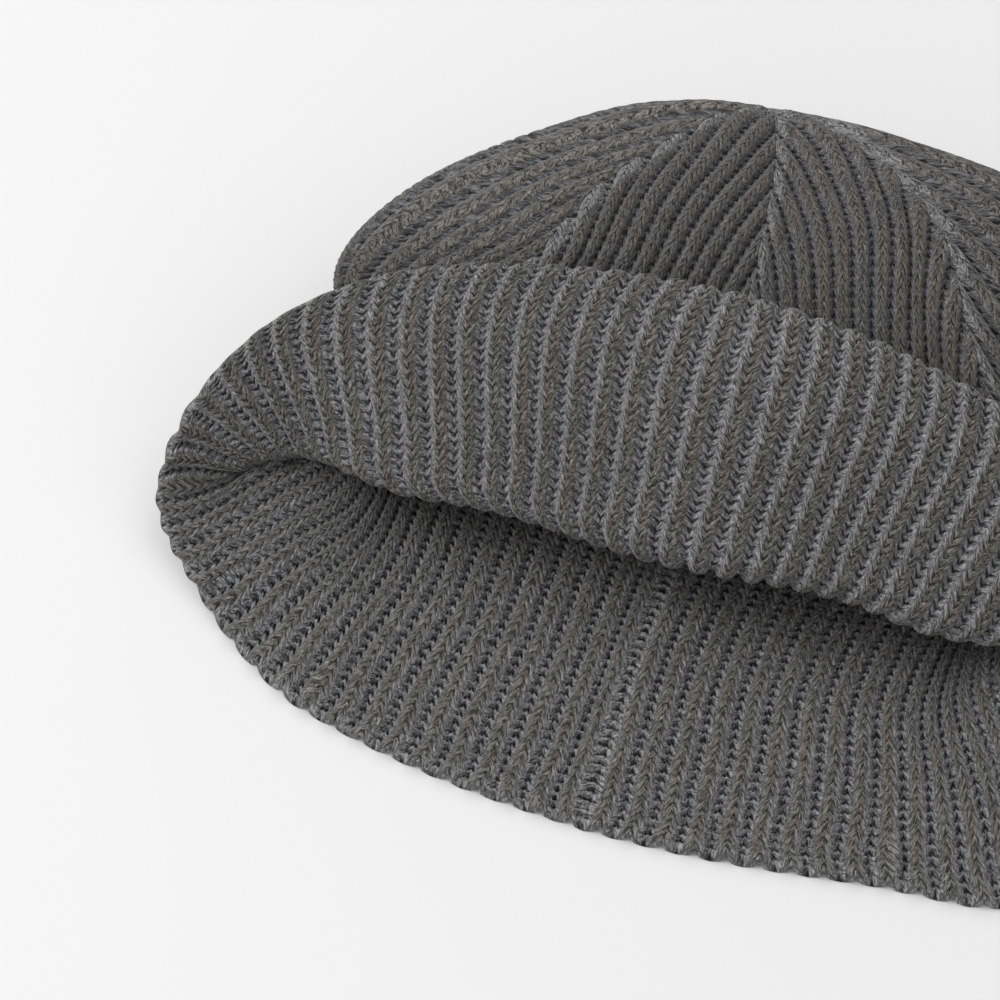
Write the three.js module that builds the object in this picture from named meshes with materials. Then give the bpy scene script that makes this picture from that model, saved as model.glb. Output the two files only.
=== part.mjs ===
// Rib-knit beanie lying on its back wall, mouth towards -Y, crown towards +Y, floor at z = 0.
// Millimetres, +Z up, origin on the floor under the middle of the hat.
import * as THREE from "three";

// Knit
const RIBS = 76; // wales round the hat
const WALL = 2.6; // fabric without its ribs
const RIB_DEPTH = 0.95; // a wale stands this far past the middle of the fabric, a groove as far back
const APEX_COURSE = 210; // distance from the free edge to the crown's centre, along a wale
const DART_COURSE = 96; // where the four crown darts begin
const DARTS = 4;
const GORE_TURN = 1 / DARTS;
const RIB_CROWD = 1.4; // draws the back gores' ribs towards the side darts
const CROWD_COURSE = 120; // the ribs have drawn together by this course

// Turned-up cuff
const TURN_DEPTH = 82; // fabric turned up at the front centre, with its roll
const TURN_RIBS = 22.5; // ribs from the front centre to where the turn has run out
const TURN_TAPER = 1.9;
const LEAST_TURN = 14;
const ROLL_RADIUS = 5.6; // middle of the fabric, round the front fold
const ROLL_SHARE = 0.25;
const FLAP_SWELL = 5; // the flap bows out this much between its roll and its free edge
const SWELL_UNIT = 27 / 4; // brings the highest value of t * t * (1 - t) to 1
const CUFF_COURSE = 87.3; // the cuff ends at this course
const CROWN_COURSE = 88.9; // the crown begins at this course

// Floor contact
const FLOOR_MIDDLE = 2.3; // middle of the fabric where it lies pressed flat
const PRESS_BAND = 2.0; // above that height the underside gets its ribs back

// The whole hat is moved so that its bounding box stands centred on the origin.
const CENTRE_X = 0.1;
const CENTRE_Y = 89.1;

// Courses of the hat before its front is turned up. A row holds one course: its distance from the
// free edge, how far its centre sways in x, how far its hips, flanks and front are set back per mm
// of x, and where it crosses seven wales of the left half: back (the seam), hip, flank, side (a
// dart), temple, brow and front (a dart). The right half mirrors the left.
const COURSES = [
  { course: 0, sway: 0, hipSkew: -0.035, flankSkew: -0.095, frontSkew: 0.03,
    backY: 0, backZ: 2, hipX: 70, hipY: 8, hipZ: 2.2, flankX: 103, flankY: 22, flankZ: 3.5,
    sideX: 120, sideY: 42, sideZ: 6, templeX: 98, templeY: 30, templeZ: 14,
    browX: 62, browY: -4, browZ: 17, frontY: -18, frontZ: 18 },
  { course: 22, sway: 0, hipSkew: -0.03, flankSkew: -0.07, frontSkew: 0.03,
    backY: 22, backZ: 2, hipX: 65, hipY: 30, hipZ: 2.2, flankX: 89, flankY: 45, flankZ: 4.2,
    sideX: 105, sideY: 63, sideZ: 10, templeX: 90, templeY: 46, templeZ: 15,
    browX: 60, browY: 16, browZ: 17, frontY: 4, frontZ: 18 },
  { course: 45, sway: 0, hipSkew: -0.03, flankSkew: -0.04, frontSkew: -0.01,
    backY: 46, backZ: 2, hipX: 60, hipY: 54, hipZ: 2.3, flankX: 77.5, flankY: 63, flankZ: 5.5,
    sideX: 93, sideY: 78, sideZ: 17, templeX: 82, templeY: 68, templeZ: 19,
    browX: 57, browY: 43.5, browZ: 19, frontY: 28, frontZ: 18 },
  { course: 80, sway: 2, hipSkew: -0.02, flankSkew: -0.02, frontSkew: 0.02,
    backY: 80, backZ: 2, hipX: 66, hipY: 87, hipZ: 3, flankX: 79, flankY: 90, flankZ: 12,
    sideX: 81.5, sideY: 89, sideZ: 30.5, templeX: 70, templeY: 86, templeZ: 37,
    browX: 48, browY: 76.5, browZ: 31, frontY: 63, frontZ: 25 },
  { course: 115, sway: 4, hipSkew: 0.06, flankSkew: 0.06, frontSkew: 0.06,
    backY: 113, backZ: 2, hipX: 93, hipY: 114, hipZ: 19, flankX: 82, flankY: 108, flankZ: 36,
    sideX: 63, sideY: 99, sideZ: 49, templeX: 49, templeY: 98, templeZ: 48.5,
    browX: 33, browY: 96, browZ: 47, frontY: 90, frontZ: 42 },
  { course: 136, sway: 5, hipSkew: 0.12, flankSkew: 0.12, frontSkew: 0.1,
    backY: 134, backZ: 3.5, hipX: 96, hipY: 130, hipZ: 28, flankX: 75, flankY: 123, flankZ: 46,
    sideX: 50, sideY: 114, sideZ: 58.5, templeX: 38, templeY: 113, templeZ: 58,
    browX: 25, browY: 112, browZ: 56.5, frontY: 109, frontZ: 53 },
  { course: 157, sway: 4, hipSkew: 0.15, flankSkew: 0.15, frontSkew: 0.12,
    backY: 153, backZ: 11, hipX: 84, hipY: 150, hipZ: 33, flankX: 62, flankY: 143, flankZ: 49,
    sideX: 40, sideY: 134, sideZ: 61.5, templeX: 30, templeY: 133, templeZ: 63.5,
    browX: 20, browY: 131, browZ: 63, frontY: 129, frontZ: 60 },
  { course: 178, sway: 2, hipSkew: 0.15, flankSkew: 0.15, frontSkew: 0.12,
    backY: 169, backZ: 24, hipX: 61, hipY: 165, hipZ: 38, flankX: 44, flankY: 159, flankZ: 49.5,
    sideX: 27, sideY: 151, sideZ: 59, templeX: 20, templeY: 150, templeZ: 61,
    browX: 13, browY: 148, browZ: 61.5, frontY: 147, frontZ: 59.5 },
  { course: 194, sway: -1, hipSkew: 0.1, flankSkew: 0.1, frontSkew: 0.1,
    backY: 176, backZ: 37, hipX: 33, hipY: 173, hipZ: 44, flankX: 24, flankY: 169, flankZ: 50.5,
    sideX: 14, sideY: 164, sideZ: 55, templeX: 11, templeY: 163, templeZ: 56.5,
    browX: 7, browY: 162, browZ: 57, frontY: 160, frontZ: 56 },
  { course: 210, sway: -5, hipSkew: 0, flankSkew: 0, frontSkew: 0,
    backY: 173, backZ: 49.6, hipX: 0, hipY: 173, hipZ: 49.6, flankX: 0, flankY: 173, flankZ: 49.6,
    sideX: 0, sideY: 173, sideZ: 49.6, templeX: 0, templeY: 173, templeZ: 49.6,
    browX: 0, browY: 173, browZ: 49.6, frontY: 173, frontZ: 49.6 },
];

// The free edge as it lies, flat at the back and turned up at the front.
const FREE_EDGE = {
  sway: 0, hipSkew: -0.035, flankSkew: -0.095, frontSkew: 0.01,
  backY: 0, backZ: 2, hipX: 70, hipY: 8, hipZ: 2.2, flankX: 103, flankY: 22, flankZ: 3.5,
  sideX: 120, sideY: 52, sideZ: 14, templeX: 103, templeY: 81, templeZ: 44,
  browX: 68, browY: 99, browZ: 58, frontY: 107, frontZ: 65,
};

// Where those wales lie, in turns from the back seam.
const WALE_TURNS = [0, 0.125, 0.1875, 0.25, 0.3125, 0.375, 0.5, 0.625, 0.6875, 0.75, 0.8125, 0.875];

// A course's control points, once round from the back seam by the left side.
function courseRing(row) {
  const at = (x, y, z, skew) => new THREE.Vector3(row.sway + x, y + skew * x, z);
  const half = (side) => [
    at(side * row.hipX, row.hipY, row.hipZ, row.hipSkew),
    at(side * row.flankX, row.flankY, row.flankZ, row.flankSkew),
    at(side * row.sideX, row.sideY, row.sideZ, (row.hipSkew + row.frontSkew) / 2),
    at(side * row.templeX, row.templeY, row.templeZ, row.frontSkew),
    at(side * row.browX, row.browY, row.browZ, row.frontSkew),
  ];
  return [at(0, row.backY, row.backZ, 0), ...half(-1), at(0, row.frontY, row.frontZ, 0), ...half(1).reverse()];
}
const RINGS = COURSES.map(courseRing);
const EDGE_RING = courseRing(FREE_EDGE);

// Cubic through b and c with the slopes given.
function hermite(b, c, slopeB, slopeC, t) {
  const t2 = t * t;
  const t3 = t2 * t;
  return b.clone().multiplyScalar(2 * t3 - 3 * t2 + 1)
    .addScaledVector(slopeB, t3 - 2 * t2 + t)
    .addScaledVector(c, 3 * t2 - 2 * t3)
    .addScaledVector(slopeC, t3 - t2);
}

// Point on one course, u in turns from the back seam.
function ringPoint(ring, u) {
  const turn = ((u % 1) + 1) % 1;
  const count = WALE_TURNS.length;
  let i = count - 1;
  while (WALE_TURNS[i] > turn) i -= 1;
  const knot = (k) => WALE_TURNS[(i + k + count) % count] + Math.floor((i + k) / count);
  const p = (k) => ring[(i + k + count) % count];
  const span = knot(1) - knot(0);
  const slope = (k) => p(k + 1).clone().sub(p(k - 1)).multiplyScalar(span / (knot(k + 1) - knot(k - 1)));
  return hermite(p(0), p(1), slope(0), slope(1), (turn - knot(0)) / span);
}

// Middle of the fabric before the front is turned up.
function tube(u, course) {
  const last = COURSES.length - 2;
  let i = 0;
  while (i < last && course > COURSES[i + 1].course) i += 1;
  const low = Math.max(i - 1, 0);
  const high = Math.min(i + 2, COURSES.length - 1);
  const points = [low, i, i + 1, high].map((k) => ringPoint(RINGS[k], u));
  const span = COURSES[i + 1].course - COURSES[i].course;
  const slope = (a, b) => points[b].clone().sub(points[a])
    .multiplyScalar(span / (COURSES[[low, i, i + 1, high][b]].course - COURSES[[low, i, i + 1, high][a]].course));
  const t = (course - COURSES[i].course) / span;
  return hermite(points[1], points[2], slope(0, 2), slope(1, 3), t);
}

const STEP_U = 0.002;
const STEP_COURSE = 0.5;
const APEX_MARGIN = 1.5; // slopes are taken this far short of the crown's centre

// Outward normal of the tube, and the direction along a wale towards the crown.
function tubeFrame(u, course) {
  const c = Math.min(course, APEX_COURSE - APEX_MARGIN);
  const along = tube(u, c + STEP_COURSE).sub(tube(u, c - STEP_COURSE)).normalize();
  const round = tube(u + STEP_U, c).sub(tube(u - STEP_U, c));
  const normal = new THREE.Vector3().crossVectors(round, along).normalize();
  return { along, normal };
}

// Fabric beyond the fold at a place round the hat: turned up at the front, lying flat at the back.
function turnDepth(u) {
  const ribs = Math.abs(u - 0.5) * RIBS;
  return Math.max(LEAST_TURN, TURN_DEPTH * (1 - Math.pow(ribs / TURN_RIBS, TURN_TAPER)));
}

// Middle of the fabric as it lies: the tube, then a roll round the fold and a flap to the free edge.
function fabric(u, course) {
  const fold = turnDepth(u);
  if (course >= fold) return tube(u, course);
  const start = tube(u, fold);
  const { along, normal } = tubeFrame(u, fold);
  const reach = ringPoint(EDGE_RING, u).sub(start);
  const forward = along.multiplyScalar(-1);
  const aside = reach.clone().addScaledVector(forward, -reach.dot(forward));
  const out = aside.dot(normal) < 0 ? aside.multiplyScalar(-1) : aside;
  out.addScaledVector(normal, 0.001).normalize();
  const radius = Math.min(ROLL_RADIUS, fold * ROLL_SHARE);
  const ex = reach.dot(forward);
  const ey = reach.dot(out) - radius;
  const span = Math.hypot(ex, ey);
  const angle = Math.atan2(ey, ex) + Math.asin(Math.min(1, radius / span));
  const arc = radius * Math.max(angle, 0);
  const leave = start.clone()
    .addScaledVector(forward, radius * Math.sin(angle))
    .addScaledVector(out, radius * (1 - Math.cos(angle)));
  const end = start.clone().add(reach);
  const straight = leave.distanceTo(end);
  const travel = (arc + straight) * (1 - course / fold);
  if (travel < arc) {
    const turned = travel / radius;
    return start.addScaledVector(forward, radius * Math.sin(turned)).addScaledVector(out, radius * (1 - Math.cos(turned)));
  }
  const t = (travel - arc) / straight;
  const swell = FLAP_SWELL * (fold / TURN_DEPTH) * SWELL_UNIT * t * t * (1 - t);
  return leave.lerp(end, t).addScaledVector(out, swell);
}

// Fabric point with the side that was outside before the turn pointing along the normal.
function fabricFrame(u, course) {
  const c = Math.min(course, APEX_COURSE - APEX_MARGIN);
  const along = fabric(u, c + STEP_COURSE).sub(fabric(u, Math.max(c - STEP_COURSE, 0)));
  const round = fabric(u + STEP_U, c).sub(fabric(u - STEP_U, c));
  return { point: fabric(u, course), normal: new THREE.Vector3().crossVectors(round, along).normalize() };
}

// Presses the underside flat where the fabric lies on the floor.
function press(point, middleZ) {
  const free = THREE.MathUtils.smoothstep(middleZ, FLOOR_MIDDLE, FLOOR_MIDDLE + PRESS_BAND);
  if (point.z < middleZ) point.z *= free;
  point.z = Math.max(point.z, 0);
  return point;
}

// Vertex on the outer (side = 1) or inner (side = -1) face; wave is 1 on a wale and -1 in a groove.
function faceVertex(u, course, wave, side) {
  const { point, normal } = fabricFrame(u, course);
  const middleZ = point.z;
  point.addScaledVector(normal, wave * RIB_DEPTH + side * WALL / 2);
  return press(point, middleZ);
}

// Collects vertices and triangles of one closed solid.
class Shell {
  constructor() {
    this.positions = [];
    this.index = [];
  }

  add(point) {
    this.positions.push(point.x - CENTRE_X, point.y - CENTRE_Y, point.z);
    return this.positions.length / 3 - 1;
  }

  ring(count, vertex) {
    return Array.from({ length: count }, (_, i) => this.add(vertex(i)));
  }

  // Band between two closed rings of vertices, joined in step with each other.
  band(lower, upper) {
    let i = 0;
    let j = 0;
    while (i < lower.length || j < upper.length) {
      const a = lower[i % lower.length];
      const b = upper[j % upper.length];
      if (i * upper.length <= j * lower.length && i < lower.length) {
        this.index.push(a, lower[(i + 1) % lower.length], b);
        i += 1;
      } else {
        this.index.push(a, upper[(j + 1) % upper.length], b);
        j += 1;
      }
    }
  }

  cap(ring, tip) {
    ring.forEach((a, i) => this.index.push(a, ring[(i + 1) % ring.length], tip));
  }

  mesh(name, material) {
    const geometry = new THREE.BufferGeometry();
    geometry.setAttribute("position", new THREE.Float32BufferAttribute(this.positions, 3));
    geometry.setIndex(this.index);
    geometry.computeVertexNormals();
    const mesh = new THREE.Mesh(geometry, material);
    mesh.name = name;
    return mesh;
  }
}

const knit = (color) => new THREE.MeshStandardMaterial({ color, roughness: 0.95, metalness: 0 });

// Cuff: outer face from the free edge to the join, then the inner face back to the free edge.
const FLAP_ROWS = 4;
const ROLL_ROWS = 4;
const ROLL_LIMIT = 0.6; // at most this share of a shallow turn is roll
const TAIL_ROWS = 3;

function cuffCourse(u, row) {
  const fold = turnDepth(u);
  const roll = Math.min(Math.PI * ROLL_RADIUS, fold * ROLL_LIMIT);
  if (row <= FLAP_ROWS) return (fold - roll) * row / FLAP_ROWS;
  if (row <= FLAP_ROWS + ROLL_ROWS) return fold - roll * (1 - (row - FLAP_ROWS) / ROLL_ROWS);
  const tail = (row - FLAP_ROWS - ROLL_ROWS) / TAIL_ROWS;
  return fold + (CUFF_COURSE - fold) * tail;
}

function makeCuff() {
  const shell = new Shell();
  const columns = RIBS * 2;
  const rows = FLAP_ROWS + ROLL_ROWS + TAIL_ROWS;
  const face = (side) => Array.from({ length: rows + 1 }, (_, row) => shell.ring(columns, (i) => {
    const u = i / columns;
    return faceVertex(u, cuffCourse(u, row), i % 2 ? -1 : 1, side);
  }));
  const outer = face(1);
  const inner = face(-1);
  for (let row = 0; row < rows; row += 1) {
    shell.band(outer[row], outer[row + 1]);
    shell.band(inner[row + 1], inner[row]);
  }
  shell.band(outer[rows], inner[rows]);
  shell.band(inner[0], outer[0]);
  return shell.mesh("cuff", knit(0x6b6864));
}

// Crown: plain ribs up to the darts, then one rib fewer at each dart in every row.
const LINING_COLUMNS = 60;
const LINING_COURSES = [CROWN_COURSE, 93, 112, 132, 153, 174, 194];
const LINING_WAVE = -0.9; // the inside stays as deep as the grooves
const DART_ROWS = RIBS / DARTS;

// Where a crown rib lies: the back gores' ribs are drawn towards the side darts.
function crownTurn(u, course) {
  const fromSeam = Math.min(u, 1 - u);
  if (fromSeam >= GORE_TURN) return u;
  const fromMiddle = fromSeam - GORE_TURN / 2;
  const crowd = RIB_CROWD * THREE.MathUtils.smoothstep(course, DART_COURSE, CROWD_COURSE);
  const drawn = fromSeam + crowd * ((GORE_TURN / 2) ** 2 - fromMiddle ** 2);
  return u < 0.5 ? drawn : 1 - drawn;
}

function makeCrown() {
  const shell = new Shell();
  const outer = [shell.ring(RIBS * 2, (i) => faceVertex(i / (RIBS * 2), CROWN_COURSE, i % 2 ? -1 : 1, 1))];
  for (let row = 0; row < DART_ROWS; row += 1) {
    const halfRibs = 2 * (DART_ROWS - row);
    const course = DART_COURSE + (APEX_COURSE - DART_COURSE) * row / DART_ROWS;
    outer.push(shell.ring(DARTS * halfRibs, (i) => {
      const u = crownTurn(i / (DARTS * halfRibs), course);
      const fromDart = (i % halfRibs) + row;
      return faceVertex(u, course, fromDart % 2 ? -1 : 1, 1);
    }));
  }
  shell.band(outer[0], outer[1]);
  for (let row = 1; row < outer.length - 1; row += 1) joinAtDarts(shell, outer[row], outer[row + 1]);
  const tip = faceVertex(0.5, APEX_COURSE, 0, 1);
  shell.cap(outer[outer.length - 1], shell.add(tip));

  const lining = LINING_COURSES.map((course, row) => {
    const columns = row ? LINING_COLUMNS : RIBS * 2;
    return shell.ring(columns, (i) => faceVertex(i / columns, course, LINING_WAVE, -1));
  });
  for (let row = 0; row < lining.length - 1; row += 1) shell.band(lining[row + 1], lining[row]);
  const last = lining[lining.length - 1].slice().reverse();
  shell.cap(last, shell.add(faceVertex(0.5, APEX_COURSE, LINING_WAVE, -1)));
  shell.band(lining[0], outer[0]);
  return shell.mesh("crown", knit(0x625f5b));
}

// Joins two rows of the crown, gore by gore; the next row has one half rib fewer on each side of a dart.
function joinAtDarts(shell, lower, upper) {
  const wide = lower.length / DARTS;
  const narrow = upper.length / DARTS;
  for (let gore = 0; gore < DARTS; gore += 1) {
    const low = (k) => lower[(gore * wide + k) % lower.length];
    const high = (k) => upper[(gore * narrow + k) % upper.length];
    shell.index.push(low(0), low(1), high(0));
    for (let k = 0; k < narrow; k += 1) {
      shell.index.push(low(k + 1), low(k + 2), high(k + 1));
      shell.index.push(low(k + 1), high(k + 1), high(k));
    }
    shell.index.push(low(wide - 1), low(wide), high(narrow));
  }
}

const hat = new THREE.Group();
hat.name = "beanie";
hat.add(makeCrown(), makeCuff());

export default hat;
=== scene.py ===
"""A chunky rib-knit beanie lying on its back wall, with the front of its cuff turned up over the crown."""

import logging
import math
from dataclasses import dataclass, field
from enum import Enum
from typing import Any, Union

import bpy
import numpy as np
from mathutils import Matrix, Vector


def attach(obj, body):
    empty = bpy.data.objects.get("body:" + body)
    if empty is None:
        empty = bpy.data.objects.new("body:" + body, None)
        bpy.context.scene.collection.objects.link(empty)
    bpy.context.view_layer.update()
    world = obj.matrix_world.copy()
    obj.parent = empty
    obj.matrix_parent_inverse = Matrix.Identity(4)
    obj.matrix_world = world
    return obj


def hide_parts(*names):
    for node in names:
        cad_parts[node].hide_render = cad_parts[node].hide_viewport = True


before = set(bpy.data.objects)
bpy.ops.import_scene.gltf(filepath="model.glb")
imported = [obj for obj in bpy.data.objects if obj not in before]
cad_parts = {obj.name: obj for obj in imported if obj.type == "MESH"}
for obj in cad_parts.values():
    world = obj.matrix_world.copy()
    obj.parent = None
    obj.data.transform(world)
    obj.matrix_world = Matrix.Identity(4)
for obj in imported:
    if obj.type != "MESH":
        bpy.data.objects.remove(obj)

LOG = logging.getLogger("beanie")
MM = 0.001
BODY = "root"

# Knit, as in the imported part, in millimetres.
RIBS = 76
WALL = 2.6
RIB_DEPTH = 0.95
APEX_COURSE = 210.0
DART_COURSE = 96.0
JOIN_COURSE = 88.0
GORES = 4
GORE_TURN = 1 / GORES
RIB_CROWD = 1.4
CROWD_COURSE = 120.0
STITCH_COURSE = 2.4

# Back seam on the inner face, in ribs to each side and to where the ribs are even again.
SEAM_LEFT = 0.46
SEAM_RIGHT = 0.26
SEAM_FADE = 0.8
GROOVE_HALF = 0.25

# Turned-up cuff, in millimetres.
TURN_DEPTH = 82.0
TURN_RIBS = 22.5
TURN_TAPER = 1.9
LEAST_TURN = 14.0
ROLL_RADIUS = 5.6
ROLL_SHARE = 0.25
FLAP_SWELL = 5.0
SWELL_UNIT = 27 / 4  # brings the highest value of t * t * (1 - t) to 1

# Floor contact and place, in millimetres.
FLOOR_MIDDLE = 2.3
PRESS_BAND = 2.0
UNDER_EDGE = -0.3
CENTRE = (0.1, 89.1)

# Steps over which slopes are taken.
STEP_TURN = 0.002
STEP_COURSE = 0.5
APEX_MARGIN = 1.5

Number = Union[float, "Signal"]


@dataclass(frozen=True)
class Course:
    """One course of the hat as it lies: where it crosses seven wales of its left half, in millimetres."""

    course: float
    back: tuple[float, float]
    hip: tuple[float, float, float]
    flank: tuple[float, float, float]
    side: tuple[float, float, float]
    temple: tuple[float, float, float]
    brow: tuple[float, float, float]
    front: tuple[float, float]
    sway: float = 0.0
    hip_skew: float = 0.0
    flank_skew: float = 0.0
    front_skew: float = 0.0

    def ring(self) -> np.ndarray:
        """Places the control points.

        Returns:
            The points once round, from the back seam by the left side.
        """
        mean_skew = (self.hip_skew + self.front_skew) / 2
        half = (
            (self.hip, self.hip_skew),
            (self.flank, self.flank_skew),
            (self.side, mean_skew),
            (self.temple, self.front_skew),
            (self.brow, self.front_skew),
        )
        left = [self._at(-x, y, z, skew) for (x, y, z), skew in half]
        right = [self._at(x, y, z, skew) for (x, y, z), skew in reversed(half)]
        back = self._at(0.0, *self.back, 0.0)
        front = self._at(0.0, *self.front, 0.0)
        return np.array([back, *left, front, *right])

    def _at(self, x: float, y: float, z: float, skew: float) -> tuple[float, float, float]:
        """A control point moved by the course's sway and skew."""
        return (self.sway + x, y + skew * x, z)


COURSES = (
    Course(0, (0, 2), (70, 8, 2.2), (103, 22, 3.5), (120, 42, 6), (98, 30, 14), (62, -4, 17), (-18, 18),
           hip_skew=-0.035, flank_skew=-0.095, front_skew=0.03),
    Course(22, (22, 2), (65, 30, 2.2), (89, 45, 4.2), (105, 63, 10), (90, 46, 15), (60, 16, 17), (4, 18),
           hip_skew=-0.03, flank_skew=-0.07, front_skew=0.03),
    Course(45, (46, 2), (60, 54, 2.3), (77.5, 63, 5.5), (93, 78, 17), (82, 68, 19), (57, 43.5, 19), (28, 18),
           hip_skew=-0.03, flank_skew=-0.04, front_skew=-0.01),
    Course(80, (80, 2), (66, 87, 3), (79, 90, 12), (81.5, 89, 30.5), (70, 86, 37), (48, 76.5, 31), (63, 25),
           sway=2, hip_skew=-0.02, flank_skew=-0.02, front_skew=0.02),
    Course(115, (113, 2), (93, 114, 19), (82, 108, 36), (63, 99, 49), (49, 98, 48.5), (33, 96, 47), (90, 42),
           sway=4, hip_skew=0.06, flank_skew=0.06, front_skew=0.06),
    Course(136, (134, 3.5), (96, 130, 28), (75, 123, 46), (50, 114, 58.5), (38, 113, 58), (25, 112, 56.5),
           (109, 53), sway=5, hip_skew=0.12, flank_skew=0.12, front_skew=0.1),
    Course(157, (153, 11), (84, 150, 33), (62, 143, 49), (40, 134, 61.5), (30, 133, 63.5), (20, 131, 63),
           (129, 60), sway=4, hip_skew=0.15, flank_skew=0.15, front_skew=0.12),
    Course(178, (169, 24), (61, 165, 38), (44, 159, 49.5), (27, 151, 59), (20, 150, 61), (13, 148, 61.5),
           (147, 59.5), sway=2, hip_skew=0.15, flank_skew=0.15, front_skew=0.12),
    Course(194, (176, 37), (33, 173, 44), (24, 169, 50.5), (14, 164, 55), (11, 163, 56.5), (7, 162, 57),
           (160, 56), sway=-1, hip_skew=0.1, flank_skew=0.1, front_skew=0.1),
    Course(210, (173, 49.6), (0, 173, 49.6), (0, 173, 49.6), (0, 173, 49.6), (0, 173, 49.6), (0, 173, 49.6),
           (173, 49.6), sway=-5),
)

# The free edge as it lies, flat at the back and turned up at the front.
FREE_EDGE = Course(0, (0, 2), (70, 8, 2.2), (103, 22, 3.5), (120, 52, 14), (103, 81, 44), (68, 99, 58),
                   (107, 65), hip_skew=-0.035, flank_skew=-0.095, front_skew=0.01)

# Where those wales lie, in turns from the back seam.
WALE_TURNS = np.array([0, 0.125, 0.1875, 0.25, 0.3125, 0.375, 0.5, 0.625, 0.6875, 0.75, 0.8125, 0.875])


def hermite(b: np.ndarray, c: np.ndarray, slope_b: np.ndarray, slope_c: np.ndarray,
            t: np.ndarray) -> np.ndarray:
    """Cubic through b and c with the slopes given.

    Args:
        b, c: the points at t = 0 and t = 1.
        slope_b, slope_c: the slopes there, per unit of t.
        t: the place between them.

    Returns:
        The points at t.
    """
    t = t[..., None]
    t2 = t * t
    t3 = t2 * t
    return (b * (2 * t3 - 3 * t2 + 1) + slope_b * (t3 - 2 * t2 + t)
            + c * (3 * t2 - 2 * t3) + slope_c * (t3 - t2))


def unit(vectors: np.ndarray) -> np.ndarray:
    """The vectors at length 1."""
    return vectors / np.maximum(np.linalg.norm(vectors, axis=-1, keepdims=True), 1e-9)


def crown_turns(turns: np.ndarray, course: float) -> np.ndarray:
    """Where crown ribs lie: the back gores' ribs are drawn towards the side darts.

    Args:
        turns: places round the hat, evenly by rib.
        course: distance from the free edge.

    Returns:
        The places the ribs are drawn to.
    """
    from_seam = np.minimum(turns, 1 - turns)
    share = min(1.0, max(0.0, (course - DART_COURSE) / (CROWD_COURSE - DART_COURSE)))
    crowd = RIB_CROWD * share * share * (3 - 2 * share)
    drawn = from_seam + crowd * ((GORE_TURN / 2) ** 2 - (from_seam - GORE_TURN / 2) ** 2)
    drawn = np.where(from_seam < GORE_TURN, drawn, from_seam)
    return np.where(turns < 0.5, drawn, 1 - drawn)


def dot(a: np.ndarray, b: np.ndarray) -> np.ndarray:
    """Scalar product along the last axis."""
    return np.sum(a * b, axis=-1)


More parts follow.
